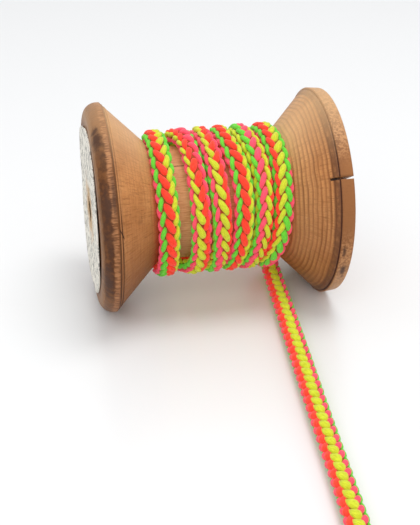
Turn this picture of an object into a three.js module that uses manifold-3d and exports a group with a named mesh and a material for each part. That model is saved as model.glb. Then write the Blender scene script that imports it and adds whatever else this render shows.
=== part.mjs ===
// A wooden spool that lies on its two rims, wound with one layer of thick knitted cord. The cord's outer
// end comes off behind the spool, passes under it and runs forward over the table.
// Millimetres, +Z up. X runs along the spool's axis, from its labelled end to its notched end, -Y faces
// the front, and the origin is on the table below the middle of the model.

import * as THREE from "three";
import { mergeVertices } from "three/addons/utils/BufferGeometryUtils.js";
import Module from "manifold-3d";

const wasm = await Module();
wasm.setup();

// Spool
const SPOOL_LENGTH = 85.4;
const RIM_RADIUS = 37;
const BARREL_RADIUS = 20;
const BORE_RADIUS = 6;
const REST_WIDTH = 10; // the small flat under each rim on which the spool lies
const GAP = 0.3; // between neighbouring pieces

// The heads, measured along the axis from the middle of the spool: where the 45 degree cone starts at the
// barrel, where it turns steeper, and where the rim starts, then the rounding of the rim's outer edge
const HEADS = {
  left: { side: -1, coneFoot: 20.3, coneTop: 35.0, rimStart: 36.9, rounding: 2.5 },
  right: { side: 1, coneFoot: 22.0, coneTop: 37.0, rimStart: 37.95, rounding: 0.8 },
};
const ROUNDING_STEPS = 3;
const HEAD_STEPS = 60;

// The notch that holds a thread's end: a sloping saw cut through the right rim, degrees above the front
const NOTCH = { width: 0.9, angle: 29.5, start: 35.2, floorRadius: 28 };

// Paper label on the left end, glued round the bore and lifting in waves towards its edge
const LABEL = { radius: 29.6, holeRadius: 6.6, thickness: 1.0, lift: 0.9, waves: 3, crest: -7.5, ragged: 0.4 };
const LABEL_RINGS = 4;
const LABEL_STEPS = 48;

// Cord, a flattened round knit
const CORD_WIDTH = 8;
const WOUND_THICKNESS = 6;
const FREE_THICKNESS = 6.4;
const CORD_SQUARENESS = 0.8; // power that fills an ellipse out; 1 is a true ellipse
const CORD_SIDES = 12;

// The winding: where the middle of the cord crosses eight places round the spool, as distances along the
// axis. A row for each turn, from the turn that the loose end leads to; the last one ends near the bottom.
const PLACES = ["back", "back top", "top", "front top", "front", "front low", "bottom", "back low"];
const TURNS = [
  [20.2, 20.6, 20.9, 21.4, 20.7, 18.5, 17.2, 15.3],
  [13.6, 12.6, 12.0, 14.6, 14.3, 12.2, 10.8, 8.9],
  [7.0, 5.6, 4.6, 7.6, 7.7, 5.6, 4.4, 2.4],
  [0.4, -1.2, -2.0, -1.3, -0.5, -0.5, -2.2, -5.0],
  [-8.0, -10.3, -10.6, -8.2, -7.2, -7.2, -11.0, -14.2],
  [-16.5, -18.2, -19.0, -19.0, -18.5, -18.4, -18.8, -19.2],
];
const LEAD_IN = 22.5; // the loose end, an eighth of a turn before the winding starts
const PLACE_ANGLE = 360 / PLACES.length;
const WOUND_STEP = 15; // degrees from one section of the winding to the next
const WINDING_START = 180; // degrees above the front, so at the back
const INNER_END = -105; // the same for the inner end of the last turn
const WOUND_ANGLE = WINDING_START - INNER_END + 360 * (TURNS.length - 1);

// The loose end: the middle of the cord, from where it leaves the winding, down to the table and forward.
// Height is above the table.
const LOOSE_ROUTE = [
  { x: 20.2, y: 23.3, height: 36.3 },
  { x: 20.2, y: 23.35, height: 33.6 },
  { x: 20.7, y: 23.9, height: 30.2 },
  { x: 21.8, y: 24.2, height: 25.6 },
  { x: 22.8, y: 23.6, height: 20.5 },
  { x: 23.8, y: 20.8, height: 14.6 },
  { x: 24.5, y: 16.2, height: 9.6 },
  { x: 24.8, y: 10.0, height: 5.7 },
  { x: 24.7, y: 3.4, height: 3.7 },
  { x: 24.1, y: -4.0, height: 3.2 },
  { x: 23.3, y: -12.0, height: 3.2 },
  { x: 22.4, y: -22.0, height: 3.2 },
  { x: 21.4, y: -32.0, height: 3.2 },
  { x: 20.2, y: -44.0, height: 3.2 },
  { x: 18.9, y: -57.0, height: 3.2 },
  { x: 17.6, y: -70.0, height: 3.2 },
  { x: 16.3, y: -83.0, height: 3.2 },
  { x: 14.9, y: -98.0, height: 3.2 },
  { x: 13.6, y: -112.5, height: 3.2 },
  { x: 12.4, y: -125.0, height: 3.2 },
  { x: 11.2, y: -138.0, height: 3.2 },
  { x: 10.0, y: -150.0, height: 3.2 },
  { x: 8.9, y: -162.0, height: 3.2 },
];
const LOOSE_STEPS = 36;
const EXIT_WIDTH = 6.3; // the cord leaves the winding squeezed between its neighbours
const EXIT_LENGTH = 20; // and has its full width after this far

const AXIS_HEIGHT = Math.sqrt(RIM_RADIUS ** 2 - (REST_WIDTH / 2) ** 2);
const HALF_LENGTH = SPOOL_LENGTH / 2;
const LABEL_REACH = GAP + LABEL.thickness + LABEL.lift;
const CORD_MIDDLE_RADIUS = BARREL_RADIUS + GAP + WOUND_THICKNESS / 2;
const TABLE_CUT_SIZE = 200; // larger than the spool
const CUT_MARGIN = 1;

const { degToRad } = THREE.MathUtils;

function material(color, roughness) {
  return new THREE.MeshStandardMaterial({ color, roughness, metalness: 0 });
}

function piece(name, geometry, finish) {
  const mesh = new THREE.Mesh(geometry, finish);
  mesh.name = name;
  return mesh;
}

// Closed body with shared corners, from a geometry whose seams have doubled ones
function welded(geometry) {
  const bare = geometry.clone();
  bare.deleteAttribute("normal");
  bare.deleteAttribute("uv");
  return mergeVertices(bare, 1e-4);
}

function toSolid(geometry) {
  const { attributes, index } = welded(geometry);
  const vertProperties = new Float32Array(attributes.position.array);
  return new wasm.Manifold(new wasm.Mesh({ numProp: 3, vertProperties, triVerts: new Uint32Array(index.array) }));
}

function toGeometry(solid) {
  const { vertProperties, triVerts } = solid.getMesh();
  const geometry = new THREE.BufferGeometry();
  geometry.setAttribute("position", new THREE.BufferAttribute(new Float32Array(vertProperties), 3));
  geometry.setIndex(new THREE.BufferAttribute(new Uint32Array(triVerts), 1));
  geometry.computeVertexNormals();
  return geometry;
}

// Turned body on the spool's axis. The outline is (radius, distance along the axis) pairs, closed on itself
// and anticlockwise; side says which way the distance runs.
function turned(outline, steps, side) {
  const points = [...outline, outline[0]].map(([radius, along]) => new THREE.Vector2(radius, along));
  return new THREE.LatheGeometry(points, steps).rotateZ((-side * Math.PI) / 2);
}

function headOutline({ coneFoot, coneTop, rimStart, rounding }) {
  const roundedEdge = [];
  for (let step = 0; step <= ROUNDING_STEPS; step++) {
    const angle = ((Math.PI / 2) * step) / ROUNDING_STEPS;
    const radius = RIM_RADIUS - rounding * (1 - Math.cos(angle));
    roundedEdge.push([radius, HALF_LENGTH - rounding * (1 - Math.sin(angle))]);
  }
  return [
    [BORE_RADIUS, coneFoot],
    [BARREL_RADIUS, coneFoot],
    [BARREL_RADIUS + coneTop - coneFoot, coneTop],
    [RIM_RADIUS, rimStart],
    ...roundedEdge,
    [BORE_RADIUS, HALF_LENGTH],
  ];
}

// Everything below the table's surface, so that cutting it away leaves a flat to rest on
function belowTable() {
  const box = new THREE.BoxGeometry(TABLE_CUT_SIZE, TABLE_CUT_SIZE, TABLE_CUT_SIZE);
  return toSolid(box.translate(0, 0, -TABLE_CUT_SIZE / 2));
}

// The notch as a wedge that stands on its sloping floor and runs out past the end face and the rim
function notchCut() {
  const { width, angle, start, floorRadius } = NOTCH;
  const startRadius = BARREL_RADIUS + start - HEADS.right.coneFoot;
  const slope = (startRadius - floorRadius) / (HALF_LENGTH - start);
  const wedge = new THREE.Shape([
    new THREE.Vector2(start, startRadius),
    new THREE.Vector2(HALF_LENGTH + CUT_MARGIN, floorRadius - slope * CUT_MARGIN),
    new THREE.Vector2(HALF_LENGTH + CUT_MARGIN, RIM_RADIUS + CUT_MARGIN),
    new THREE.Vector2(start, RIM_RADIUS + CUT_MARGIN),
  ]);
  const cut = new THREE.ExtrudeGeometry(wedge, { depth: width, bevelEnabled: false });
  cut.translate(0, 0, -width / 2).rotateX(Math.PI - degToRad(angle));
  return toSolid(cut.translate(0, 0, AXIS_HEIGHT));
}

function headGeometry(head, extraCuts = []) {
  const blank = turned(headOutline(head), HEAD_STEPS, head.side).translate(0, 0, AXIS_HEIGHT);
  const cuts = [belowTable(), ...extraCuts];
  return toGeometry(cuts.reduce((solid, cut) => solid.subtract(cut), toSolid(blank)));
}

function barrelGeometry() {
  const from = -HEADS.left.coneFoot + GAP;
  const to = HEADS.right.coneFoot - GAP;
  const outline = [
    [BORE_RADIUS, from],
    [BARREL_RADIUS, from],
    [BARREL_RADIUS, to],
    [BORE_RADIUS, to],
  ];
  return welded(turned(outline, 360 / WOUND_STEP, 1).translate(0, 0, AXIS_HEIGHT));
}

// Paper disc: a flat ring first, then each corner lifted off the wood and the edge made uneven
function labelGeometry() {
  const { radius, holeRadius, thickness, lift, waves, crest, ragged } = LABEL;
  const rings = Array.from({ length: LABEL_RINGS + 1 }, (_, k) =>
    THREE.MathUtils.lerp(holeRadius, radius, k / LABEL_RINGS));
  const gluedSide = HALF_LENGTH + GAP;
  const outline = [
    ...rings.map((ring) => [ring, gluedSide]),
    ...rings.reverse().map((ring) => [ring, gluedSide + thickness]),
  ];
  const geometry = turned(outline, LABEL_STEPS, HEADS.left.side);
  const corners = geometry.attributes.position;
  for (let i = 0; i < corners.count; i++) {
    const [x, y, z] = [corners.getX(i), corners.getY(i), corners.getZ(i)];
    const angle = Math.atan2(z, -y) - degToRad(crest);
    const outward = (Math.hypot(y, z) - holeRadius) / (radius - holeRadius);
    const raised = lift * outward ** 2 * (0.5 + 0.5 * Math.cos(waves * angle));
    const stretch = 1 + (ragged / radius) * outward ** 2 * Math.cos(5 * angle);
    corners.setXYZ(i, x - raised, y * stretch, z * stretch + AXIS_HEIGHT);
  }
  return welded(geometry);
}

const CORD_CENTRES = new THREE.SplineCurve(
  [LEAD_IN, ...TURNS.flat()].map((x, place) => new THREE.Vector2(place - 1, x)));

// Middle of the cord along the axis, by places passed since the start of the winding; the loose end and
// the stretch past the inner end are out of reach
function cordCentre(place) {
  const span = CORD_CENTRES.points.length - 1;
  const along = (place + 1) / span;
  return along >= 0 && along <= 1 ? CORD_CENTRES.getPoint(along).y : NaN;
}

// Half of the cord's width on the side of a neighbouring turn, which squeezes it where they meet
function halfWidth(place, neighbour) {
  const room = (Math.abs(cordCentre(neighbour) - cordCentre(place)) - GAP) / 2;
  return Number.isNaN(room) ? CORD_WIDTH / 2 : Math.min(CORD_WIDTH / 2, room);
}

// Cord with closed ends. Its sections are the rings of a cylinder, and carry() takes each point of a ring,
// by the share of the length passed and by its place across and up the section, to its place in the model.
function cordTube(steps, carry) {
  const geometry = new THREE.CylinderGeometry(1, 1, 1, CORD_SIDES, steps);
  const corners = geometry.attributes.position;
  const fill = (s) => Math.sign(s) * Math.abs(s) ** CORD_SQUARENESS;
  for (let i = 0; i < corners.count; i++) {
    const place = carry(0.5 - corners.getY(i), fill(corners.getX(i)), fill(corners.getZ(i)));
    corners.setXYZ(i, place.x, place.y, place.z);
  }
  return welded(geometry);
}

// Six turns side by side on the barrel, pressed against each other and against the foot of each cone
function windingGeometry() {
  const clear = 2 * GAP; // measured along the axis; less, square to the cone
  return cordTube(WOUND_ANGLE / WOUND_STEP, (passed, across, up) => {
    const place = (passed * WOUND_ANGLE) / PLACE_ANGLE;
    const neighbour = across > 0 ? place - PLACES.length : place + PLACES.length;
    const radius = CORD_MIDDLE_RADIUS + (up * WOUND_THICKNESS) / 2;
    const rise = radius - BARREL_RADIUS;
    const x = THREE.MathUtils.clamp(
      cordCentre(place) + across * halfWidth(place, neighbour),
      -HEADS.left.coneFoot - rise + clear,
      HEADS.right.coneFoot + rise - clear);
    const angle = degToRad(WINDING_START - passed * WOUND_ANGLE);
    return new THREE.Vector3(x, -radius * Math.cos(angle), AXIS_HEIGHT + radius * Math.sin(angle));
  });
}

function looseEndGeometry() {
  const route = new THREE.CatmullRomCurve3(
    LOOSE_ROUTE.map(({ x, y, height }) => new THREE.Vector3(x, y, height)));
  const length = route.getLength();
  return cordTube(LOOSE_STEPS, (passed, across, up) => {
    const forward = route.getTangentAt(passed);
    const sideways = new THREE.Vector3(1, 0, 0).addScaledVector(forward, -forward.x).normalize();
    const upwards = new THREE.Vector3().crossVectors(forward, sideways);
    const widened = THREE.MathUtils.smoothstep(passed * length, 0, EXIT_LENGTH);
    const width = THREE.MathUtils.lerp(EXIT_WIDTH, CORD_WIDTH, widened);
    const thickness = THREE.MathUtils.lerp(WOUND_THICKNESS, FREE_THICKNESS, widened);
    const corner = route.getPointAt(passed)
      .addScaledVector(sideways, (across * width) / 2)
      .addScaledVector(upwards, (up * thickness) / 2);
    corner.z = Math.max(corner.z, 0);
    return corner;
  });
}

const roll = new THREE.Group();
roll.name = "roll_of_cord";
roll.position.x = LABEL_REACH / 2;
roll.add(
  piece("spool_barrel", barrelGeometry(), material("#a8703f", 0.6)),
  piece("spool_head_left", headGeometry(HEADS.left), material("#8c5a33", 0.55)),
  piece("spool_head_right", headGeometry(HEADS.right, [notchCut()]), material("#b27a4c", 0.6)),
  piece("end_label", labelGeometry(), material("#d9d4c6", 0.85)),
  piece("cord_winding", windingGeometry(), material("#e3a83a", 0.8)),
  piece("loose_end", looseEndGeometry(), material("#e8604a", 0.8)),
);

export default roll;
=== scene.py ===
import math

import bpy
import numpy as np
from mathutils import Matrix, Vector


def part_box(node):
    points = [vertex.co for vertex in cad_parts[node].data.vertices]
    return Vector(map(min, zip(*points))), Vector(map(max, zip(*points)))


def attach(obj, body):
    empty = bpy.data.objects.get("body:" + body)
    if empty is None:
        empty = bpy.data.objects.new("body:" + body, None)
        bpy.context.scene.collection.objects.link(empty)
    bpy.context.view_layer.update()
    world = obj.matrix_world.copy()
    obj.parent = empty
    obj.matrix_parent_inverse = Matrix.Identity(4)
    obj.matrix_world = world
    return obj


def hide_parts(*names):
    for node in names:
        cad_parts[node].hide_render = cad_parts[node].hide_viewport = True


# A wooden spool lying on its rims, wound with thick knitted cord. Sizes are in millimetres, as in the
# drawings, and become metres where a mesh is made. "Along" is a distance along the spool's axis from the
# middle of the spool, and angles round the spool are in degrees above its front.

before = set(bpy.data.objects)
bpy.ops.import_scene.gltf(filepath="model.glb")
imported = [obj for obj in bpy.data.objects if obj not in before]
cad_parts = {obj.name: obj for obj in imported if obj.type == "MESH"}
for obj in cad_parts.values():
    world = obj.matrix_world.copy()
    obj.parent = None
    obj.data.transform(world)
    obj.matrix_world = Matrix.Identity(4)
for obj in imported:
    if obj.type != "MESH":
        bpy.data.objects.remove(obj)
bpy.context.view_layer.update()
MM = 0.001
FULL_TURN = 2 * math.pi

# Spool. Each head is a cone that rises from its foot on the barrel to its top, and then a rim
RIM_RADIUS = 37.0
BARREL_RADIUS = 20.0
BORE_RADIUS = 6.0
BORE_CHAMFER = 0.5
HEAD_ENDS = (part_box("spool_head_left")[0][0] / MM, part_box("spool_head_right")[1][0] / MM)
MIDDLE_X = sum(HEAD_ENDS) / 2
HALF_LENGTH = (HEAD_ENDS[1] - HEAD_ENDS[0]) / 2
AXIS_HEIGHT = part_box("spool_head_right")[1][2] / MM - RIM_RADIUS
LEFT = {"foot": 20.3, "top": 35.0, "top_radius": 34.7, "rim": 36.9}
RIGHT = {"foot": 21.75, "top": 37.65, "top_radius": 36.5, "rim": 38.0, "rim_radius": 37.35}
# Length and height of the left rim's rounded shoulder at the end face
LEFT_SHOULDER = (4.6, 4.4)
LEFT_ROUNDING = 0.4
RIGHT_ROUNDING = 0.8
# Length and height of the right rim's bevel at the cone
RIGHT_BEVEL = (0.2, 0.12)
# Scribed lines, by how far they are inwards from the left rim and below its top
LEFT_LINES = ((0.3, 0.7), (1.15, 1.6))
# Depth and half width of the scribed lines, and of the seam between the right cone and its rim
LINE_CUT = (0.3, 0.22)
SEAM_CUT = (0.15, 0.12)
# The notch's floor starts on the right cone and comes down to the radius "floor" at the end face
NOTCH = {"width": 0.9, "angle": 29.5, "start": 35.2, "floor": 28.0}
SPOOL_SIDES = 240
# About how far apart the outline's points are
OUTLINE_STEPS = {"head": 0.8, "barrel": 1.5, "bore": 3.0}
SHOULDER_STEPS = 12

# Label. It lifts off the wood in broad waves towards its edge, and the crest is the angle of one wave's top
LABEL = {
    "radius": 29.6, "hole": 4.6, "thickness": 0.4, "lift": 0.42, "waves": 3, "crest": 4.0,
    "gap": 0.09, "least_gap": 0.03, "crumple": 0.09,
}
# Small waves round the label: size, how many go round, and start in radians. Ripples are shares of the lift
RIPPLES = ((0.06, 7, 1.0), (0.05, 11, 2.0))
RAGGED_EDGE = ((0.35, 5, math.pi / 2), (0.22, 9, 0.7), (0.12, 17, 0.0))
TORN_HOLE = ((0.5, 3, 0.4), (0.3, 7, 2.0))
LABEL_SIDES = 180
LABEL_RINGS = 22

# Cord. Below 1, squareness makes its section squarer than an ellipse
CORD_WIDTH = 8.0
WOUND_THICKNESS = 6.0
FREE_THICKNESS = 6.4
SQUARENESS = 0.8
BARREL_GAP = 0.3
WOUND_RADIUS = BARREL_RADIUS + BARREL_GAP + WOUND_THICKNESS / 2
WOUND_TURNS = 5 + 285 / 360
WOUND_LENGTH = math.radians(360 * WOUND_TURNS) * WOUND_RADIUS
# Where the middle of the cord lies along the spool, a row for each turn from the right one
TURNS = [
    # back, back top, top, front top, front, front low, bottom, back low
    [20.2, 20.6, 20.9, 21.4, 20.7, 18.5, 17.2, 15.3],
    [13.6, 12.6, 12.0, 14.6, 14.3, 12.2, 10.8, 8.9],
    [7.0, 5.6, 4.6, 7.6, 7.7, 5.6, 4.4, 2.4],
    [0.4, -1.2, -2.0, -1.3, -0.5, -0.5, -2.2, -5.0],
    [-9.0, -11.4, -8.7, -7.6, -7.2, -7.2, -11.0, -14.2],
    [-16.5, -18.2, -19.0, -19.0, -18.5, -18.4, -18.8, -19.2],
]
PLACES = 8
# One place before the first turn
LEAD_IN = 22.5
# How close the cord comes to the cones, to the table and to the line between two turns
TOUCH = 0.04
# Stands for that line where there is no turn beside it
FAR_OFF = 99.0
# The middle of the loose end, from where it leaves the winding behind the spool
LOOSE_ROUTE = [
    # along, y, height above the table
    (20.2, 23.3, 36.3), (20.2, 23.35, 33.6), (20.7, 23.9, 30.2), (21.8, 24.2, 25.6), (22.8, 23.6, 20.5),
    (23.8, 20.8, 14.6), (24.5, 16.2, 9.6), (24.8, 10.0, 5.7), (24.7, 3.4, 3.7), (24.1, -4.0, 3.2),
    (23.3, -12.0, 3.2), (22.4, -22.0, 3.2), (21.4, -32.0, 3.2), (20.2, -44.0, 3.2), (18.9, -57.0, 3.2),
    (17.6, -70.0, 3.2), (16.3, -83.0, 3.2), (14.9, -98.0, 3.2), (13.6, -112.5, 3.2), (12.4, -125.0, 3.2),
    (11.2, -138.0, 3.2), (10.0, -150.0, 3.2), (8.9, -162.0, 3.2),
]
# The route is drawn as this many points, and then as points this far apart
ROUTE_POINTS = 4000
LOOSE_STEP = 0.5
# By the distance from the winding: the loose end is narrow where it leaves, and stretched near the spool
LOOSE_WIDTHS = ([0, 20, 60, 110, 160, 220], [6.3, 7.2, 7.6, 7.7, 7.3, 7.3])
# Over this length it goes over from the wound thickness to the free one
EXIT_LENGTH = 20.0

# The knit: eight columns of stitches round the cord, by yarn; every other one leans the other way
COLUMNS = ["pink", "green", "orange", "yellow", "green", "pink", "yellow", "orange"]
COLUMN_WIDTH = 2.9
# Distance between rows on the winding, and on the loose end by the distance from the winding
WOUND_PITCH = 4.8
FREE_PITCHES = ([0, 50, 140, 220], [4.7, 4.45, 3.95, 3.9])
# Column on the outside of the loose end, by the distance from the winding
LOOSE_COLUMNS = ([0, 50, 110, 170], [3.1, 3.05, 3.0, 2.9])
# Column on the outside of each turn at the top, at the front and at the bottom
TWIST = [
    [3.5, 4.4, 6.3],
    [5.6, 6.5, 6.6],
    [3.1, 3.05, 3.0],
    [7.7, 6.7, 5.1],
    [8.75, 7.35, 7.0],
    [3.5, 2.95, 2.3],
]
TWIST_PLACES = (2, 4, 6)
# How the yarns lie on the loose end: columns to the side, fullness and lift
LOOSE_BULK = {
    "pink": (0.0, 0.95, 0.0),
    "green": (0.0, 1.0, 0.0),
    "orange": (0.08, 1.75, 0.0),
    "yellow": (0.2, 1.08, 0.27),
}

# A stitch. Its middle is measured from a section of the cord that lies inset below the outline. One end is
# tucked under the stitches beside it and the other shows on top of them, and they bend down by "tucked" and
# "showing". It is a little narrower at its tucked end, but pointed at its showing end where it is slack
STITCH = {
    "half_height": 0.98, "inset": 0.75, "middle": -0.3, "tucked": 1.2, "tuck_bend": 2.5,
    "showing": 0.55, "show_bend": 3, "narrowing": 0.12, "pointing": 4.3,
}
# On the cord's sides, and on the middle of the flat, where a stitch is longer, leans more and stands higher
STITCH_ROWS = (0.53, 0.585)
BLUNTNESS = (2.9, 4.2)
LEAN_COLUMNS = (0.46, 0.56)
STITCH_HALF_WIDTH = (1.22, 1.18)
CROWN = 0.2
# How far that middle reaches to each side, in columns
CENTRAL_COLUMNS = 0.9
# How a stitch changes where the rows are closer than on the winding, as powers of how much closer
SLACK_POWERS = {"sharpness": 3, "rows": 0.7, "lean": 2.6, "width": 0.9, "showing": 5}
# How much stitches vary: shares of their length, lean and width, and sway in columns
VARIATION = {"rows": 0.06, "lean": 0.12, "width": 0.07, "sway": 0.06}
# Where a stitch sits in its row, in even and in odd columns, and by how many millimetres this varies
ROW_SHARES = (0.75, 0.25)
ROW_SHIFT = 0.15
STITCH_RINGS = 11
STITCH_SIDES = 12
# Rows are laid until they come this close to the loose end's far end
LAST_ROW = 3.0

# The core, a plain tube that shows between the stitches, lies inset below the outline. It keeps a gap where
# the loose end leaves the winding, and another at the far end
CORE_INSET = 1.3
CORE_STEP = 1.5
CORE_SIDES = 24
CORE_GAPS = (0.3, 0.5)

YARNS = {
    "orange": (0.90, 0.042, 0.014),
    "yellow": (0.54, 0.585, 0.016),
    "green": (0.125, 0.58, 0.027),
    "pink": (0.88, 0.070, 0.12),
}
# The dyes are fluorescent, and the yarns are given a painted glow, a little light of their own colour
PAINTED_GLOW = 0.22

random = np.random.default_rng(7)


def to_row(points):
    """Points in metres in the row frame, from millimetres with x along the spool."""
    return (np.asarray(points, float) + (MIDDLE_X, 0, 0)) * MM


def mesh_object(name, points, faces, uvs=None, tones=None, slots=None, materials=()):
    """A smooth piece from points in millimetres. uvs and tones are given per point, and slots per face."""
    mesh = bpy.data.meshes.new(name)
    mesh.from_pydata(to_row(points).tolist(), [], [list(map(int, f)) for f in faces])
    mesh.polygons.foreach_set("use_smooth", np.ones(len(mesh.polygons), bool))
    if uvs is not None:
        corner = np.zeros(len(mesh.loops), np.int32)
        mesh.loops.foreach_get("vertex_index", corner)
        layer = mesh.uv_layers.new(name="UVMap")
        layer.data.foreach_set("uv", np.asarray(uvs, np.float32)[corner].ravel())
    if tones is not None:
        tone = mesh.attributes.new("tone", "FLOAT", "POINT")
        tone.data.foreach_set("value", np.asarray(tones, np.float32))
    for material in materials:
        mesh.materials.append(material)
    if slots is not None:
        mesh.polygons.foreach_set("material_index", np.asarray(slots, np.int32))
    mesh.update()
    return linked(bpy.data.objects.new(name, mesh))


def linked(obj):
    bpy.context.scene.collection.objects.link(obj)
    return obj


def catmull_rom(a, b, c, d, t):
    return b + 0.5 * t * (c - a + t * (2 * a - 5 * b + 4 * c - d + t * (3 * (b - c) + d - a)))


def spline(values, at):
    """Smooth curve through values at 0, 1, 2 and so on."""
    values = np.asarray(values, float)
    i = np.clip(np.floor(at).astype(int), 0, len(values) - 2)
    t = np.asarray(at) - i
    if values.ndim > 1:
        t = t[..., None]
    pick = lambda k: values[np.clip(i + k, 0, len(values) - 1)]
    return catmull_rom(pick(-1), pick(0), pick(1), pick(2), t)


# Camera, from the outlines of the spool's ends

CAMERA_PLACE = (-69.79, -339.41, AXIS_HEIGHT + 154.69)
CAMERA_AIM = (0.2, 0.0, AXIS_HEIGHT - 25.85)
CAMERA_LENS = 72.09
CAMERA_SENSOR = 36.0


def aim(obj, place, target):
    """Puts a camera or a light at a place in metres, facing the target."""
    obj.location = place
    obj.rotation_euler = (Vector(target) - Vector(place)).to_track_quat("-Z", "Y").to_euler()


def make_camera():
    data = bpy.data.cameras.new("camera")
    data.lens = CAMERA_LENS
    data.sensor_width = CAMERA_SENSOR
    data.clip_start, data.clip_end = 0.01, 20.0
    camera = linked(bpy.data.objects.new("camera", data))
    aim(camera, to_row(CAMERA_PLACE), to_row(CAMERA_AIM))
    bpy.context.scene.camera = camera


# The cord's course. "Passed" is a distance along the cord into the winding, from where the loose end leaves
# it, and is negative on the loose end. A "place" is an eighth of a turn.

def wound_centre(place):
    """Along, at that many places after the start of the winding."""
    return spline([LEAD_IN, *np.ravel(TURNS)], np.asarray(place) + 1)


def wound_place(passed):
    """How many places into the winding, 0 on the loose end."""
    return np.maximum(passed, 0) / (FULL_TURN * WOUND_RADIUS) * PLACES


def route_of_loose_end():
    """Points of the loose end, LOOSE_STEP apart, from the winding outwards, and its length."""
    dense = spline(LOOSE_ROUTE, np.linspace(0, len(LOOSE_ROUTE) - 1, ROUTE_POINTS))
    passed = np.concatenate([[0], np.cumsum(np.linalg.norm(np.diff(dense, axis=0), axis=1))])
    at = np.arange(0, passed[-1], LOOSE_STEP)
    return np.stack([np.interp(at, passed, dense[:, k]) for k in range(3)], axis=1), passed[-1]


LOOSE_POINTS, LOOSE_LENGTH = route_of_loose_end()


def unit(vectors):
    return vectors / np.linalg.norm(vectors, axis=-1, keepdims=True)


def wound_course(passed):
    """Middle of the cord on the winding, and its direction."""
    turned = np.maximum(passed, 0) / WOUND_RADIUS
    place = turned / FULL_TURN * PLACES
    near = 0.02
    slope = (wound_centre(place + near) - wound_centre(place - near)) / (2 * near) * PLACES / FULL_TURN
    cos, sin = np.cos(turned), np.sin(turned)
    middle = np.stack([wound_centre(place), WOUND_RADIUS * cos, AXIS_HEIGHT + WOUND_RADIUS * sin], -1)
    return middle, unit(np.stack([slope, -WOUND_RADIUS * sin, WOUND_RADIUS * cos], -1))


def loose_course(passed):
    """Middle of the cord on the loose end, carried straight on past its far end, and its direction."""
    last = len(LOOSE_POINTS) - 1.001
    at = np.clip(-passed / LOOSE_STEP, 0, last)
    before = spline(LOOSE_POINTS, np.maximum(at - 1, 0))
    after = spline(LOOSE_POINTS, np.minimum(at + 1, last))
    way = unit(before - after)
    beyond = np.maximum(-passed - LOOSE_LENGTH, 0)[..., None]
    return spline(LOOSE_POINTS, at) - way * beyond, way


def course(passed):
    """Middle of the cord, and its directions across and outwards."""
    passed = np.asarray(passed, float)
    on_spool = (passed >= 0)[..., None]
    wound, loose = wound_course(passed), loose_course(passed)
    middle, way = (np.where(on_spool, wound[k], loose[k]) for k in (0, 1))
    across = unit(np.array([1.0, 0, 0]) - way * way[..., :1])
    return middle, across, np.cross(way, across)


def borders(passed):
    """Along, halfway to the next turn on the left and on the right, and far off where there is none."""
    place = wound_place(passed)
    wound = passed >= 0
    here = wound_centre(place)
    left = (here + wound_centre(place + PLACES)) / 2
    right = (here + wound_centre(np.maximum(place - PLACES, -1))) / 2
    left = np.where(wound & (place + PLACES <= WOUND_TURNS * PLACES), left, -FAR_OFF)
    right = np.where(wound & (place >= PLACES - 1), right, FAR_OFF)
    return left, right


def half_widths(passed):
    """Half of the cord's width on its left and on its right, squeezed by the turns beside it."""
    here = wound_centre(wound_place(passed))
    left, right = borders(passed)
    loose = np.interp(-passed, *LOOSE_WIDTHS) / 2
    rooms = (here - left, right - here)
    return [np.where(passed >= 0, np.minimum(CORD_WIDTH / 2, room), loose) for room in rooms]


def half_thickness(passed):
    free = np.clip(-passed / EXIT_LENGTH, 0, 1)
    return (WOUND_THICKNESS + (FREE_THICKNESS - WOUND_THICKNESS) * free) / 2


def outer_column(passed):
    """The column that faces outwards, between whole numbers where two share the middle."""
    places = [0.0] + [turn * PLACES + k for turn in range(len(TWIST)) for k in TWIST_PLACES]
    columns = [LOOSE_COLUMNS[1][0], *np.ravel(TWIST)]
    place = np.minimum(wound_place(passed), places[-1])
    i = np.clip(np.searchsorted(places, place, side="right") - 1, 0, len(places) - 2)
    low, high = np.take(places, i), np.take(places, i + 1)
    t = np.clip((place - low) / (high - low), 0, 1)
    wound = np.take(columns, i) + (np.take(columns, i + 1) - np.take(columns, i)) * t * t * (3 - 2 * t)
    return np.where(passed < 0, np.interp(-passed, *LOOSE_COLUMNS), wound)


def cord_points(passed, column, height, inset):
    """Points over the cord's surface, height above a section that lies inset below the outline."""
    middle, across, outwards = course(passed)
    left, right = half_widths(passed)
    share = (column - outer_column(passed)) / len(COLUMNS)
    turn = ((share + 0.5) % 1 - 0.5) * FULL_TURN
    cos, sin = np.cos(turn), np.sin(turn)
    wide = np.where(sin > 0, right, left) - inset
    thick = half_thickness(passed) - inset
    fill = lambda s: np.sign(s) * np.abs(s) ** SQUARENESS
    power = 2 / SQUARENESS - 1
    slant = lambda s, size: np.sign(s) * np.abs(fill(s)) ** power / size
    normal = unit(np.stack([slant(sin, wide), slant(cos, thick)], -1))
    sideways = wide * fill(sin) + height * normal[..., 0]
    up = thick * fill(cos) + height * normal[..., 1]
    points = middle + across * sideways[..., None] + outwards * up[..., None]
    return pressed(points, passed)


def cone_slope(head):
    return (head["top_radius"] - BARREL_RADIUS) / (head["top"] - head["foot"])


def pressed(points, passed):
    """Points kept off the cones, the table and the turns beside them, which flatten the cord."""
    x, y, z = points[..., 0], points[..., 1], points[..., 2]
    rise = np.hypot(y, z - AXIS_HEIGHT) - BARREL_RADIUS
    low, high = borders(passed)
    low = np.maximum(low, -LEFT["foot"] - rise / cone_slope(LEFT)) + TOUCH
    high = np.minimum(high, RIGHT["foot"] + rise / cone_slope(RIGHT)) - TOUCH
    between_heads = rise < RIM_RADIUS - BARREL_RADIUS
    x = np.where(between_heads, np.minimum(np.maximum(x, low), high), x)
    return np.stack([x, y, np.maximum(z, TOUCH)], -1)


# Stitches

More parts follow.
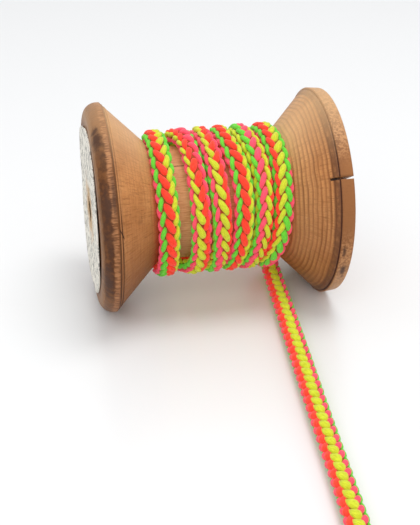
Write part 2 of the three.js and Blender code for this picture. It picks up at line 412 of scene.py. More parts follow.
def tube_faces(rings, sides):
    """Faces of a tube of rings with a pole at each end; the poles are its first and last points."""
    ring = lambda r: 1 + r * sides
    faces = []
    for k in range(sides):
        n = (k + 1) % sides
        faces.append((0, ring(0) + n, ring(0) + k))
        for r in range(rings - 1):
            faces.append((ring(r) + k, ring(r) + n, ring(r + 1) + n, ring(r + 1) + k))
        faces.append((ring(rings), ring(rings - 1) + k, ring(rings - 1) + n))
    return faces


def stitch_parts(passed, column, pitch, lean, fullness=1.0, lift=0.0):
    """Points, faces, uvs and tones of one stitch for each entry of the arrays. t goes along a stitch, from
    -1 at its tucked end to 1 at its showing end, and side goes round it."""
    count = len(passed)
    each = lambda values: values[:, None, None]
    spread = lambda kind: each(random.uniform(-VARIATION[kind], VARIATION[kind], count))
    t = np.sin(np.linspace(-math.pi / 2, math.pi / 2, STITCH_RINGS + 2))[:, None]
    side = (np.arange(STITCH_SIDES) / STITCH_SIDES * FULL_TURN)[None, :]
    half_round = len(COLUMNS) / 2
    from_middle = (column - outer_column(passed) + half_round) % len(COLUMNS) - half_round
    central = each(np.exp(-(from_middle / CENTRAL_COLUMNS) ** 2))
    between = lambda pair: pair[0] + (pair[1] - pair[0]) * central
    slack = WOUND_PITCH / each(pitch)
    slackened = {name: slack ** power for name, power in SLACK_POWERS.items()}

    taper = 1 - np.abs(t) ** (between(BLUNTNESS) / slackened["sharpness"])
    taper = taper ** (0.5 * slackened["sharpness"])
    taper = taper * (1 + (STITCH["narrowing"] - STITCH["pointing"] * (slack - 1)) * t)
    reach_rows = between(STITCH_ROWS) * (1 + spread("rows")) * each(pitch) * slackened["rows"]
    reach_columns = between(LEAN_COLUMNS) * slackened["lean"] * (1 + spread("lean")) * each(lean)
    sway = spread("sway")
    half_width = fullness * between(STITCH_HALF_WIDTH) * slackened["width"] * (1 + spread("width"))
    across = half_width * taper * np.cos(side)
    up = STITCH["half_height"] * taper * np.sin(side)

    # across runs square to the stitch's own line, whose slope is set by how far it reaches each way
    run = np.hypot(reach_rows, reach_columns * COLUMN_WIDTH)
    along_share, across_share = reach_rows / run, reach_columns * COLUMN_WIDTH / run
    at = each(passed) + t * reach_rows - across * across_share / slack
    col = each(column) + sway + t * reach_columns + across * along_share / COLUMN_WIDTH
    tucked = STITCH["tucked"] * np.maximum(-t, 0) ** STITCH["tuck_bend"]
    showing = STITCH["showing"] / slackened["showing"] * np.maximum(t, 0) ** STITCH["show_bend"]
    height = STITCH["middle"] + lift + CROWN * central - tucked - showing + up
    grid = cord_points(at, col, height, STITCH["inset"])

    inner = grid[:, 1:-1].reshape(count, -1, 3)
    points = np.concatenate([grid[:, :1, 0], inner, grid[:, -1:, 0]], axis=1)
    uv = np.stack(np.broadcast_arrays(side / FULL_TURN, (t + 1) / 2), -1)
    uv = np.concatenate([uv[:1, 0], uv[1:-1].reshape(-1, 2), uv[-1:, 0]])
    per = points.shape[1]
    shape = tube_faces(STITCH_RINGS, STITCH_SIDES)
    faces = [tuple(i + k * per for i in face) for k in range(count) for face in shape]
    tones = np.repeat(random.uniform(0, 1, count), per)
    # each stitch takes its own part of the pattern of fibres
    offsets = np.repeat(random.uniform(0, 40, (count, 1)), per, axis=0)
    return points.reshape(-1, 3), faces, np.tile(uv, (count, 1)) + offsets, tones


def wound_rows():
    """Where each row of stitches starts on the winding, as distances passed."""
    return np.arange(0, WOUND_LENGTH, WOUND_PITCH)


def loose_rows():
    """The same on the loose end, from its far end."""
    starts = [0.0]
    while starts[-1] > -LOOSE_LENGTH + LAST_ROW:
        starts.append(starts[-1] - np.interp(-starts[-1], *FREE_PITCHES))
    return np.array(starts[::-1])


def stitches_of(yarn, starts):
    """Middle, column, pitch and lean of the stitches of that yarn in the rows that start there."""
    rows = len(starts) - 1
    found = []
    for number, name in enumerate(COLUMNS, 1):
        if name == yarn:
            odd = number % 2
            passed = np.interp(np.arange(rows) + ROW_SHARES[odd], np.arange(rows + 1), starts)
            column, lean = np.full(rows, float(number)), np.full(rows, 2.0 * odd - 1)
            found.append((passed, column, np.diff(starts), lean))
    passed, column, pitch, lean = map(np.concatenate, zip(*found))
    return passed + random.uniform(-ROW_SHIFT, ROW_SHIFT, len(passed)), column, pitch, lean


def core_parts(start, end):
    """Points, faces, uvs and tones of the core between two distances passed."""
    rings = int((end - start) / CORE_STEP)
    at = np.linspace(start, end, rings)[:, None] + np.zeros((1, CORE_SIDES))
    # the column runs with the angle round the section, whatever the twist, so that the tube is even
    column = outer_column(at) + (np.arange(CORE_SIDES) / CORE_SIDES * len(COLUMNS))[None, :]
    grid = cord_points(at, column, 0.0, CORE_INSET)
    poles = course(np.array([start, end]))[0]
    points = np.concatenate([poles[:1], grid.reshape(-1, 3), poles[1:]])
    return points, tube_faces(rings, CORE_SIDES), np.zeros((len(points), 2)), np.zeros(len(points))


def joined(parts):
    """Points, faces, uvs, tones and material slots of one mesh, from parts that take a slot each."""
    faces, slots, first = [], [], 0
    for slot, (points, part_faces, _, _) in enumerate(parts):
        faces += [tuple(i + first for i in face) for face in part_faces]
        slots += [slot] * len(part_faces)
        first += len(points)
    points, uvs, tones = (np.concatenate([part[k] for part in parts]) for k in (0, 2, 3))
    return points, faces, uvs, tones, slots


def dress(piece, slot, *nodes):
    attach(piece, "root")
    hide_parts(*nodes)


def lay_loose_end(yarn_materials, core_material):
    parts = [core_parts(-LOOSE_LENGTH + CORE_GAPS[1], -CORE_GAPS[0])]
    for yarn in yarn_materials:
        passed, column, pitch, lean = stitches_of(yarn, loose_rows())
        sideways, fullness, lift = LOOSE_BULK[yarn]
        parts.append(stitch_parts(passed, column + sideways, pitch, lean, fullness, lift))
    piece = mesh_object("loose_cord", *joined(parts), materials=(core_material, *yarn_materials.values()))
    dress(piece, "cord_yarn", "loose_end")


def wind_cord(yarn_materials, core_material):
    points, faces, _, _ = core_parts(CORE_GAPS[0], WOUND_LENGTH)
    core = mesh_object("winding_core", points, faces, materials=[core_material])
    dress(core, "cord_yarn", "cord_winding")
    for yarn, material in yarn_materials.items():
        parts = stitch_parts(*stitches_of(yarn, wound_rows()))
        piece = mesh_object(f"winding_{yarn}", *parts, materials=[material])
        dress(piece, "cord_yarn", "cord_winding")


# Spool

def line(start, end, step=OUTLINE_STEPS["head"]):
    """Points from start up to, but not with, end."""
    count = max(1, int(math.dist(start, end) / step))
    return [tuple(np.array(start) + (np.array(end) - start) * k / count) for k in range(count)]


def arc(centre, radius, steps):
    """Points of a quarter of a circle, from its top round to its right side, without the last one."""
    angles = np.radians(np.linspace(90, 0, steps + 1)[:-1])
    return [(centre[0] + radius * math.cos(a), centre[1] + radius * math.sin(a)) for a in angles]


def groove(along, radius, cut):
    """A scribed line of that depth and half width."""
    depth, half = cut
    return [(along - half, radius), (along, radius - depth), (along + half, radius)]


def shoulder():
    """Quarter of an ellipse, from the left end face up to the rim, without its last point."""
    wide, high = LEFT_SHOULDER
    along, radius = -HALF_LENGTH + wide, RIM_RADIUS - high
    angles = np.radians(np.linspace(0, 90, SHOULDER_STEPS + 1)[:-1])
    return [(along - wide * math.cos(a), radius + high * math.sin(a)) for a in angles]


def spool_outline():
    """(along, radius) pairs round the section of the spool, from the left end over the top."""
    end, bore_mouth = HALF_LENGTH, BORE_RADIUS + BORE_CHAMFER
    wide, high = LEFT_SHOULDER
    left_rim = -LEFT["rim"] - LEFT_ROUNDING
    right_start = RIGHT["rim"] + RIGHT_BEVEL[0]
    right_end = end - RIGHT_ROUNDING
    left_foot, right_foot = (-LEFT["foot"], BARREL_RADIUS), (RIGHT["foot"], BARREL_RADIUS)
    outer_line, inner_line = (
        groove(-LEFT["rim"] + inwards, RIM_RADIUS - below, LINE_CUT) for inwards, below in LEFT_LINES
    )
    return [
        *line((-end, bore_mouth), (-end, RIM_RADIUS - high)),
        *shoulder(),
        *line((-end + wide, RIM_RADIUS), (left_rim, RIM_RADIUS)),
        *arc((left_rim, RIM_RADIUS - LEFT_ROUNDING), LEFT_ROUNDING, 4),
        *outer_line,
        *inner_line,
        *line((-LEFT["top"], LEFT["top_radius"]), left_foot),
        *line(left_foot, right_foot, OUTLINE_STEPS["barrel"]),
        *line(right_foot, (RIGHT["top"], RIGHT["top_radius"])),
        *groove(RIGHT["top"] + 0.1, RIGHT["top_radius"] + 0.05, SEAM_CUT),
        (RIGHT["rim"], RIGHT["rim_radius"] - RIGHT_BEVEL[1]),
        *line((right_start, RIGHT["rim_radius"]), (right_end, RIM_RADIUS)),
        *arc((right_end, RIM_RADIUS - RIGHT_ROUNDING), RIGHT_ROUNDING, 5),
        *line((end, RIM_RADIUS - RIGHT_ROUNDING), (end, bore_mouth)),
        *line((end - BORE_CHAMFER, BORE_RADIUS), (-end + BORE_CHAMFER, BORE_RADIUS), OUTLINE_STEPS["bore"]),
    ]


def round_axis(along, radius, sides):
    """Rings of points about the spool's axis, a row for each ring."""
    angle = (np.arange(sides) / sides * FULL_TURN)[None, :]
    y, z = -radius * np.cos(angle), AXIS_HEIGHT + radius * np.sin(angle)
    return np.stack([along + 0 * angle, y, z], -1)


def ring_faces(rings, sides):
    """Quads between neighbouring rings, the last ring joined to the first."""
    faces = []
    for r in range(rings):
        n = (r + 1) % rings
        for k in range(sides):
            m = (k + 1) % sides
            faces.append((r * sides + k, n * sides + k, n * sides + m, r * sides + m))
    return faces


def cut(piece, cutter):
    """Takes cutter's shape out of piece, and cutter out of the scene."""
    modifier = piece.modifiers.new("cut", "BOOLEAN")
    modifier.operation, modifier.solver, modifier.object = "DIFFERENCE", "EXACT", cutter
    graph = bpy.context.evaluated_depsgraph_get()
    mesh = bpy.data.meshes.new_from_object(piece.evaluated_get(graph))
    piece.modifiers.clear()
    piece.data = mesh
    bpy.data.objects.remove(cutter)


def radial(along, radius, angle, sideways):
    """Point at that distance along and radius, degrees above the front, moved sideways round the spool."""
    a = math.radians(angle)
    out, side = np.array([0, -math.cos(a), math.sin(a)]), np.array([0, math.sin(a), math.cos(a)])
    return np.array([along, 0, AXIS_HEIGHT]) + out * radius + side * sideways


def notch_cutter():
    """A thin wedge that reaches 1 mm past the end face and the rim."""
    start, outside = NOTCH["start"], RIM_RADIUS + 1
    start_radius = BARREL_RADIUS + start - RIGHT["foot"]
    slope = (start_radius - NOTCH["floor"]) / (HALF_LENGTH - start)
    corners = [
        (start, start_radius), (HALF_LENGTH + 1, NOTCH["floor"] - slope),
        (HALF_LENGTH + 1, outside), (start, outside),
    ]
    half = NOTCH["width"] / 2
    points = [radial(x, r, NOTCH["angle"], side) for side in (-half, half) for x, r in corners]
    faces = [(0, 1, 2, 3), (7, 6, 5, 4), *[(i, i + 4, (i + 1) % 4 + 4, (i + 1) % 4) for i in range(4)]]
    return mesh_object("notch_cutter", points, faces)


def make_spool(material):
    outline = spool_outline()
    along, radius = (np.array(values)[:, None] for values in zip(*outline))
    points = round_axis(along, radius, SPOOL_SIDES)
    # the rims are flat where they stand on the table
    points[..., 2] = np.maximum(points[..., 2], 0)
    faces = ring_faces(len(outline), SPOOL_SIDES)
    spool = mesh_object("spool", points.reshape(-1, 3), faces, materials=[material])
    cut(spool, notch_cutter())
    dress(spool, "spool_wood", "spool_barrel", "spool_head_left", "spool_head_right")


# Paper label on the left end

def rippled(angle, waves):
    return sum(size * np.sin(number * angle + start) for size, number, start in waves)


def make_label(material):
    """Two sheets of rings from the hole to the edge, the inner one outwards and the outer one back."""
    share = np.linspace(0, 1, LABEL_RINGS)[:, None]
    angle = (np.arange(LABEL_SIDES) / LABEL_SIDES * FULL_TURN)[None, :]
    radius = LABEL["hole"] + (LABEL["radius"] - LABEL["hole"]) * share
    radius = radius + rippled(angle, RAGGED_EDGE) * share ** 3
    radius = radius + rippled(angle, TORN_HOLE) * (1 - share) ** 4
    broad = 0.5 + 0.5 * np.cos(LABEL["waves"] * (angle - math.radians(LABEL["crest"])))
    lift = LABEL["lift"] * share ** 2 * (broad + rippled(angle, RIPPLES))
    crumple = np.sin(5.3 * angle + radius * 0.9) * np.sin(radius * 0.7 + 2 * angle) * share
    inner = LABEL["gap"] + lift + LABEL["crumple"] * crumple
    sheets = []
    for depth in (inner, inner + LABEL["thickness"]):
        along = -HALF_LENGTH - np.maximum(depth, LABEL["least_gap"])
        sheets.append(round_axis(along, radius, LABEL_SIDES))
    points = np.concatenate([sheets[0], sheets[1][::-1]]).reshape(-1, 3)
    faces = ring_faces(2 * LABEL_RINGS, LABEL_SIDES)
    dress(mesh_object("paper_label", points, faces, materials=[material]), "label_paper", "end_label")


# Materials. Colours are linear, and each material is mixed in coats, from the ground up.

def as_color(value):
    """A socket as it is, or red, green and blue made opaque."""
    return value if isinstance(value, bpy.types.NodeSocket) else (*value, 1.0)


class Shader:
    """Node material that is built by calls: each gives back the socket with its result."""

    def __init__(self, name):
        self.material = bpy.data.materials.new(name)
        self.material.use_nodes = True
        self.tree = self.material.node_tree
        self.tree.nodes.clear()
        self.color = None

    def node(self, kind, inputs, **settings):
        node = self.tree.nodes.new(kind)
        for key, value in settings.items():
            setattr(node, key, value)
        for key, value in inputs.items():
            if isinstance(value, bpy.types.NodeSocket):
                self.tree.links.new(value, node.inputs[key])
            else:
                node.inputs[key].default_value = value
        return node

    def uv(self):
        return self.node("ShaderNodeTexCoord", {}).outputs["UV"]

    def millimetres(self):
        """The place in the row frame."""
        place = self.node("ShaderNodeTexCoord", {}).outputs["Object"]
        return self.vector("MULTIPLY", place, (1 / MM,) * 3)

    def attribute(self, name):
        return self.node("ShaderNodeAttribute", {}, attribute_name=name).outputs["Fac"]

    def math(self, operation, a, b=0.0):
        return self.node("ShaderNodeMath", {0: a, 1: b}, operation=operation).outputs[0]

    def plus(self, a, b):
        return self.math("ADD", a, b)

    def minus(self, a, b):
        return self.math("SUBTRACT", a, b)

    def over(self, a, b):
        return self.math("DIVIDE", a, b)

    def times(self, first, *others):
        for other in others:
            first = self.math("MULTIPLY", first, other)
        return first

    def hypot(self, a, b):
        return self.math("SQRT", self.plus(self.times(a, a), self.times(b, b)))

    def swing(self, noise, size):
        """An offset either way from a noise that goes from 0 to 1."""
        return self.times(self.minus(noise, 0.5), size)

    def vector(self, operation, a, b):
        return self.node("ShaderNodeVectorMath", {0: a, 1: b}, operation=operation).outputs["Vector"]

    def parts(self, vector):
        return self.node("ShaderNodeSeparateXYZ", {0: vector}).outputs

    def joined(self, x, y, z):
        return self.node("ShaderNodeCombineXYZ", {0: x, 1: y, 2: z}).outputs[0]

    def noise(self, vector, scale, detail=2.0, roughness=0.5, distortion=0.0):
        inputs = {"Vector": vector, "Scale": scale, "Detail": detail, "Roughness": roughness,
                  "Distortion": distortion}
        return self.node("ShaderNodeTexNoise", inputs).outputs["Fac"]

    def range(self, value, low, high, to_low=0.0, to_high=1.0):
        """Goes smoothly from to_low to to_high while the value goes from low to high."""
        inputs = {"Value": value, "From Min": low, "From Max": high, "To Min": to_low, "To Max": to_high}
        return self.node("ShaderNodeMapRange", inputs, interpolation_type="SMOOTHSTEP").outputs["Result"]

    def band(self, value, low, high, soft):
        """1 between low and high, with soft edges."""
        rising = self.range(value, low - soft, low + soft)
        return self.times(rising, self.range(value, high - soft, high + soft, 1.0, 0.0))

    def mix(self, share, a, b):
        inputs = {0: share, 6: as_color(a), 7: as_color(b)}
        return self.node("ShaderNodeMix", inputs, data_type="RGBA").outputs[2]

    def coat(self, share, color):
        """Lays a colour over what is there."""
        self.color = self.mix(share, self.color, color)

    def bump(self, height, distance, strength):
        inputs = {"Height": height, "Distance": distance, "Strength": strength}
        return self.node("ShaderNodeBump", inputs).outputs["Normal"]

    def finish(self, roughness, normal=None, **constants):
        inputs = {"Base Color": as_color(self.color), "Roughness": roughness}
        if normal is not None:
            inputs["Normal"] = normal
        shader = self.node("ShaderNodeBsdfPrincipled", inputs)
        for key, value in constants.items():
            shader.inputs[key.replace("_", " ")].default_value = value
        self.node("ShaderNodeOutputMaterial", {"Surface": shader.outputs[0]})
        return self.material


class SpoolShader(Shader):
    """Material with the spool's own coordinates: the place from the spool's middle, the distance along the
    axis, the radius, the degrees above the front, the degrees of rise above the nearer of front and back,
    and around, a point that doesn't change with the radius."""

    AROUND_RADIUS = 28.0

    def __init__(self, name):
        super().__init__(name)
        self.place = self.vector("SUBTRACT", self.millimetres(), (MIDDLE_X, 0, AXIS_HEIGHT))
        self.along, y, z = self.parts(self.place)
        self.radius = self.hypot(y, z)
        self.angle = self.times(self.math("ARCTAN2", z, self.times(y, -1.0)), 180 / math.pi)
        self.rise = self.times(self.math("ARCTAN2", z, self.math("ABSOLUTE", y)), 180 / math.pi)
        round_y, round_z = (self.times(self.over(side, self.radius), self.AROUND_RADIUS) for side in (y, z))
        self.around = self.joined(self.along, round_y, round_z)

    def drawn_out(self, along_scale, round_scale, detail, roughness=0.5):
        """Noise that is drawn out along the axis."""
        scaled = self.vector("MULTIPLY", self.around, (along_scale, round_scale, round_scale))
        return self.noise(scaled, 1.0, detail, roughness)


WOOD = {
    "dark": (0.45, 0.184, 0.06), "light": (0.60, 0.275, 0.10), "late": (0.15, 0.046, 0.013),
    "dark_fibre": (0.23, 0.088, 0.03), "pale_fibre": (0.74, 0.44, 0.22), "turned": (0.27, 0.11, 0.04),
    "grime": (0.21, 0.088, 0.036), "pores": (0.12, 0.045, 0.018), "lower_shade": (0.25, 0.092, 0.028),
    "bare": (0.90, 0.50, 0.25), "bare_fibre": (0.66, 0.31, 0.13), "dyed": (0.52, 0.10, 0.045),
    "left_cone_shade": (0.16, 0.05, 0.015), "right_cone_light": (0.86, 0.46, 0.20), "top_sheen": (0.74, 0.48, 0.25),
    "smudge": (0.070, 0.030, 0.017), "crack": (0.03, 0.012, 0.008),
}
RIGHT_RIM = {
    "pale": (0.50, 0.235, 0.095), "speckle": (0.20, 0.075, 0.026), "fibre": (0.20, 0.075, 0.03),
    "front": (0.27, 0.105, 0.035), "below": (0.56, 0.31, 0.15), "stain": (0.15, 0.058, 0.024),
    "seam": (0.045, 0.012, 0.010),
}
LEFT_RIM = {
    "dark": (0.084, 0.027, 0.007), "brown": (0.165, 0.058, 0.015), "top": (0.34, 0.145, 0.055),
    "below": (0.26, 0.12, 0.05), "pores": (0.05, 0.02, 0.01), "edge_highlight": (0.40, 0.175, 0.07),
    "edge_highlight_fibre": (0.18, 0.068, 0.024), "bevel": (0.31, 0.15, 0.062), "line": (0.075, 0.026, 0.011),
    "between": (0.46, 0.19, 0.07),
}
# Soft patches: along, angle, half length, half angle and strength
DARK_SMUDGES = [
    (-40.9, 62.0, 1.9, 7.0, 0.9), (-41.2, 68.5, 1.2, 3.5, 0.85), (-40.6, 52.0, 1.6, 4.0, 0.5),
    (-40.5, 24.0, 1.9, 13.0, 0.85), (-40.3, 8.0, 2.2, 12.0, 0.6), (-41.0, -18.5, 1.9, 13.0, 0.95),
    (-37.7, 29.0, 0.9, 12.0, 0.75), (-40.5, -150.0, 2.0, 14.0, 0.8), (-40.0, 140.0, 1.6, 9.0, 0.6),
    (39.3, -10.8, 0.7, 4.0, 0.8), (40.3, -25.5, 1.3, 4.5, 0.95), (40.6, -31.0, 0.7, 2.5, 0.6),
    (39.6, 118.0, 1.2, 5.0, 0.5), (-29.1, 13.2, 1.1, 2.0, 0.3), (-28.4, 16.0, 0.4, 1.2, 0.3),
]
RING_SPACING = 1.22


class WoodShader(SpoolShader):
    """The spool's wood, with the patterns that its colours are mixed by."""

    def __init__(self, name):
        super().__init__(name)
        self.warp = self.noise(self.place, 0.45, 3.0, 0.6)
        self.late = self.late_wood()
        # fibres and pores run along the axis, and the ends show none
        from_middle = self.math("ABSOLUTE", self.along)
        on_side = self.range(from_middle, HALF_LENGTH - 0.3, HALF_LENGTH - 0.05, 1.0, 0.0)
        self.fibre = self.plus(self.swing(self.drawn_out(0.22, 2.6, 3.0, 0.65), on_side), 0.5)
        self.pores = self.times(self.range(self.drawn_out(0.9, 4.2, 1.0), 0.63, 0.74), on_side)

    def late_wood(self):
        """Dark growth rings about the axis, some stronger than others, and weaker on the left."""
        wander = self.swing(self.noise(self.place, 0.05, 2.0), 2.4)
        phase = self.over(self.plus(self.radius, wander), RING_SPACING)
        in_ring = self.math("FRACT", phase)
        late = self.times(self.range(in_ring, 0.3, 0.86), self.range(in_ring, 0.9, 1.0, 1.0, 0.0))
        each_ring = self.joined(self.math("FLOOR", phase), self.times(self.rise, 0.012), 0.0)
        strength = self.range(self.noise(each_ring, 1.7, 1.0), 0.3, 0.7, 0.45, 1.0)
        return self.times(late, strength, self.range(self.along, 6.0, 23.0, 0.16, 1.0))

    def patches(self, table):
        """The strongest of some soft patches with wavering edges."""
        strongest = 0.0
        for along, angle, half_along, half_angle, strength in table:
            off = self.hypot(self.over(self.minus(self.along, along), half_along),
                             self.over(self.minus(self.angle, angle), half_angle))
            off = self.plus(off, self.swing(self.warp, 1.5))
            strongest = self.math("MAXIMUM", strongest, self.range(off, 0.2, 1.35, strength, 0.0))
        return strongest


def color_wood(s):
    """The wood of the whole spool, what age and the cord have done to it, and painted shade and light."""
    tone = s.noise(s.place, 0.07, 3.0, 0.55)
    s.color = s.mix(s.range(tone, 0.32, 0.68), WOOD["dark"], WOOD["light"])
    s.coat(s.late, WOOD["late"])
    s.coat(s.range(s.fibre, 0.48, 0.72, 0.0, 0.6), WOOD["dark_fibre"])
    s.coat(s.range(s.fibre, 0.42, 0.2, 0.0, 0.22), WOOD["pale_fibre"])
    # turning left fine marks round it
    turning = s.noise(s.joined(s.times(s.along, 3.2), s.radius, s.times(s.rise, 0.03)), 1.0, 2.0)
    s.coat(s.range(turning, 0.48, 0.7, 0.0, 0.45), WOOD["turned"])
    s.coat(s.range(s.noise(s.place, 0.9, 4.0, 0.7), 0.5, 0.75, 0.0, 0.45), WOOD["grime"])
    s.coat(s.times(s.pores, 0.5), WOOD["pores"])
    # painted shade: the lower half is darker
    s.coat(s.range(s.rise, 45.0, -30.0, 0.0, 0.42), WOOD["lower_shade"])
    # the barrel is barer, and the dye has rubbed off beside the cord
    bare = s.mix(s.range(s.fibre, 0.4, 0.62), WOOD["bare"], WOOD["bare_fibre"])
    s.coat(s.range(s.radius, 20.0, 20.25, 0.7, 0.0), bare)
    rubbed = s.times(s.range(s.radius, 21.0, 25.0, 0.4, 0.0), s.range(s.radius, 20.0, 20.2, 0.4, 1.0))
    s.coat(rubbed, WOOD["dyed"])
    # painted shade makes the left cone darker below, and painted light makes the right one paler in front
    on_left = s.range(s.along, 0.0, -20.0)
    s.coat(s.times(on_left, s.range(s.rise, 8.0, -45.0, 0.0, 0.55)), WOOD["left_cone_shade"])
    on_right = s.band(s.along, 20.0, 31.5, 1.5)
    s.coat(s.times(on_right, s.range(s.rise, -40.0, 0.0, 0.0, 0.12)), WOOD["right_cone_light"])


def color_right_rim(s):
    """Speckled and darker in front, with a stain at the top of the cone and a dark seam."""
    speckle = s.range(s.noise(s.place, 1.15, 2.0, 0.7), 0.42, 0.58)
    rim = s.mix(speckle, RIGHT_RIM["pale"], RIGHT_RIM["speckle"])
    rim = s.mix(s.range(s.fibre, 0.48, 0.7, 0.0, 0.6), rim, RIGHT_RIM["fibre"])
    rim = s.mix(s.band(s.rise, -4.0, 42.0, 9.0), rim, RIGHT_RIM["front"])
    rim = s.mix(s.range(s.rise, -5.0, -40.0, 0.0, 0.5), rim, RIGHT_RIM["below"])
    on_rim = s.range(s.along, RIGHT["rim"] - 0.15, RIGHT["rim"] + 0.1)
    s.coat(s.times(on_rim, 0.85), rim)
    stained = s.band(s.along, 36.0, 37.9, 0.3)
    s.coat(s.times(stained, s.range(s.warp, 0.3, 0.6, 0.5, 0.9)), RIGHT_RIM["stain"])
    seam = s.band(s.along, 37.62, 37.95, 0.08)
    s.coat(s.times(seam, s.range(s.rise, 88.0, 40.0, 0.35, 0.95)), RIGHT_RIM["seam"])


def color_left_rim(s, on_rim):
    """Dark with handling; painted sheen on top, a painted highlight by the cone, a lighter bevel, scribed
    lines.
    """
    rim = s.mix(s.range(s.warp, 0.35, 0.65), LEFT_RIM["dark"], LEFT_RIM["brown"])
    # painted sheen: lighter towards the top of the rim
    rim = s.mix(s.range(s.rise, 50.0, 80.0, 0.0, 0.5), rim, LEFT_RIM["top"])
    rim = s.mix(s.range(s.rise, -24.0, -40.0, 0.0, 0.45), rim, LEFT_RIM["below"])
    rim = s.mix(s.times(s.pores, 0.5), rim, LEFT_RIM["pores"])
    s.coat(on_rim, rim)
    # painted highlight: a lighter band along the rim's edge by the cone, with fibres in it
    hatch = s.drawn_out(0.35, 3.5, 2.0, 0.6)
    edge_highlight = s.mix(s.range(hatch, 0.4, 0.62), LEFT_RIM["edge_highlight"], LEFT_RIM["edge_highlight_fibre"])
    wavering = s.plus(s.along, s.swing(s.warp, 1.6))
    s.coat(s.band(wavering, -39.0, -37.2, 0.45), edge_highlight)
    bevel = s.times(s.range(wavering, -41.75, -42.15), s.range(s.radius, 30.0, 32.5))
    s.coat(s.times(bevel, 0.7), LEFT_RIM["bevel"])
    outer_line = s.times(s.band(s.along, -36.85, -36.4, 0.1), 0.8)
    inner_line = s.times(s.band(s.along, -35.95, -35.6, 0.1), s.range(s.rise, 30.0, 12.0, 0.35, 0.9))
    s.coat(s.math("MAXIMUM", outer_line, inner_line), LEFT_RIM["line"])
    between = s.times(s.band(s.along, -36.4, -36.0, 0.1), s.range(s.rise, 25.0, 8.0, 0.0, 0.7))
    s.coat(between, LEFT_RIM["between"])


def paint_top_sheen(s, on_left_rim):
    """Painted sheen: paler at the top of both heads, though less on the left rim."""
    top_sheen = s.times(s.range(s.rise, 34.0, 84.0, 0.0, 0.52), s.range(s.radius, 20.3, 22.5))
    s.coat(s.times(top_sheen, s.range(on_left_rim, 0.0, 1.0, 1.0, 0.4)), WOOD["top_sheen"])


def crack_wood(s):
    """Colours a crack on the barrel and a split beside the left rim, and gives back where they are."""
    crack_line = s.plus(s.angle, s.swing(s.warp, 3.0))
    crack = s.times(s.band(crack_line, 61.0, 61.7, 0.3), s.band(s.along, -14.4, -10.8, 0.3))
    split_line = s.plus(s.angle, s.times(s.along, 4.0))
    split = s.times(s.band(split_line, -134.6, -133.2, 0.5), s.band(s.along, -36.5, -35.2, 0.2))
    cracks = s.math("MAXIMUM", crack, split)
    s.coat(s.times(cracks, 0.9), WOOD["crack"])
    return cracks


def wood():
    s = WoodShader("spool_wood")
    on_left_rim = s.range(s.along, -LEFT["rim"] - 0.1, -LEFT["rim"] + 0.1, 1.0, 0.0)
    color_wood(s)
    color_right_rim(s)
    color_left_rim(s, on_left_rim)
    paint_top_sheen(s, on_left_rim)
    s.coat(s.patches(DARK_SMUDGES), WOOD["smudge"])
    cracks = crack_wood(s)
    height = s.plus(s.times(s.fibre, 0.5), s.times(s.late, -0.35))
    height = s.minus(s.minus(height, s.times(s.pores, 0.3)), cracks)
    roughness = s.range(s.fibre, 0.3, 0.7, 0.4, 0.55)
    return s.finish(roughness, s.bump(height, 0.00018, 0.6), Specular_IOR_Level=0.18)


PAPER = {
    "white": (0.93, 0.895, 0.80), "cream": (0.82, 0.785, 0.70), "mottle": (0.30, 0.295, 0.275),
    "tan": (0.60, 0.37, 0.17), "speck": (0.09, 0.05, 0.03),
}


def paper():
    s = SpoolShader("label_paper")
    cloud = s.noise(s.place, 0.28, 3.0, 0.6, 0.6)
    mottle = s.range(s.noise(s.place, 0.5, 3.0, 0.65), 0.5, 0.6)
    s.color = s.mix(s.range(cloud, 0.35, 0.65), PAPER["white"], PAPER["cream"])
    s.coat(s.times(mottle, 0.85), PAPER["mottle"])
    # a tan stain spreads from the hole, with more specks near it
    stained_radius = s.plus(s.radius, s.swing(cloud, 22.0))
    s.coat(s.range(stained_radius, 14.0, 5.0, 0.0, 0.8), PAPER["tan"])
    specks = s.range(s.noise(s.place, 1.6, 2.0), 0.66, 0.72)
    s.coat(s.times(specks, s.range(s.radius, 14.0, 5.0, 0.25, 1.0)), PAPER["speck"])
    height = s.plus(s.times(mottle, 0.4), s.noise(s.place, 3.0, 3.0))
    return s.finish(0.88, s.bump(height, 0.00015, 0.8), Specular_IOR_Level=0.2)


def yarn(name, base):
    s = Shader(f"yarn_{name}")
    dark = tuple(c * 0.7 for c in base)
    light = tuple(min(1.0, c * 1.1 + 0.02) for c in base)
    fibre = s.noise(s.vector("MULTIPLY", s.uv(), (34.0, 5.0, 1.0)), 1.0, 3.0, 0.6)
    s.color = s.mix(s.range(fibre, 0.3, 0.7), dark, light)
    s.coat(s.range(s.attribute("tone"), 0.0, 1.0, 0.0, 0.15), dark)
    # the emission is the painted glow
    return s.finish(0.85, s.bump(fibre, 0.00014, 0.8), Sheen_Weight=0.2, Sheen_Roughness=0.5,
                    Specular_IOR_Level=0.2, Emission_Color=(*base, 1.0), Emission_Strength=PAINTED_GLOW)


def shaded_core_yarn():
    s = Shader("cord_core")
    # dark red: partly the inner yarn's colour, and partly painted shade for the gaps between the stitches
    s.color = s.mix(s.noise(s.millimetres(), 0.8, 2.0), (0.44, 0.032, 0.012), (0.25, 0.10, 0.012))
    return s.finish(0.9)


# Floor and light, in metres

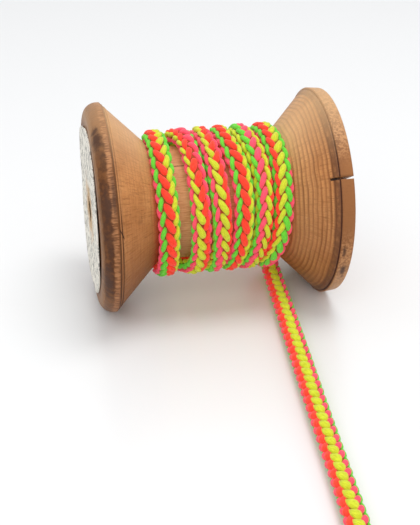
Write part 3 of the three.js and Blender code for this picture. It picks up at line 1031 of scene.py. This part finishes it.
FLOOR_COLOR = (0.79, 0.795, 0.797)
FLOOR_HALF = 3.0
SKY_COLOR = (0.985, 0.99, 1.0)
# Strength of the light from all round, level and from straight above
SKY_STRENGTHS = (0.7, 1.0)
LIGHTS = {
    # place, size, power
    "overhead": ((0.2, -0.05, 1.0), 0.55, 3.7),
    "front": ((-0.35, -0.9, 0.75), 0.9, 3.6),
}
LIGHTS_AIM = (0, 0, 0.02)


def make_stage():
    s = Shader("floor")
    s.color = FLOOR_COLOR
    mesh = bpy.data.meshes.new("floor")
    corners = [(x * FLOOR_HALF, y * FLOOR_HALF, 0) for x, y in ((-1, -1), (1, -1), (1, 1), (-1, 1))]
    mesh.from_pydata(corners, [], [(0, 1, 2, 3)])
    mesh.materials.append(s.finish(0.28, Specular_IOR_Level=0.9))
    floor = linked(bpy.data.objects.new("floor", mesh))


def make_sky():
    world = bpy.data.worlds.new("studio")
    world.use_nodes = True
    tree = world.node_tree
    background = tree.nodes["Background"]
    background.inputs["Color"].default_value = (*SKY_COLOR, 1.0)
    height = tree.nodes.new("ShaderNodeSeparateXYZ")
    tree.links.new(tree.nodes.new("ShaderNodeTexCoord").outputs["Generated"], height.inputs[0])
    strength = tree.nodes.new("ShaderNodeMapRange")
    strength.inputs["To Min"].default_value, strength.inputs["To Max"].default_value = SKY_STRENGTHS
    tree.links.new(height.outputs["Z"], strength.inputs["Value"])
    tree.links.new(strength.outputs["Result"], background.inputs["Strength"])
    bpy.context.scene.world = world


def make_lights():
    for name, (place, size, power) in LIGHTS.items():
        data = bpy.data.lights.new(name, "AREA")
        data.shape, data.size, data.energy = "DISK", size, power
        aim(linked(bpy.data.objects.new(name, data)), place, LIGHTS_AIM)


view = bpy.context.scene.view_settings
view.view_transform = "Standard"
view.look = "None"

make_camera()
yarn_materials = {name: yarn(name, base) for name, base in YARNS.items()}
core_material = shaded_core_yarn()
lay_loose_end(yarn_materials, core_material)
wind_cord(yarn_materials, core_material)
make_spool(wood())
make_label(paper())
make_stage()
make_sky()
make_lights()
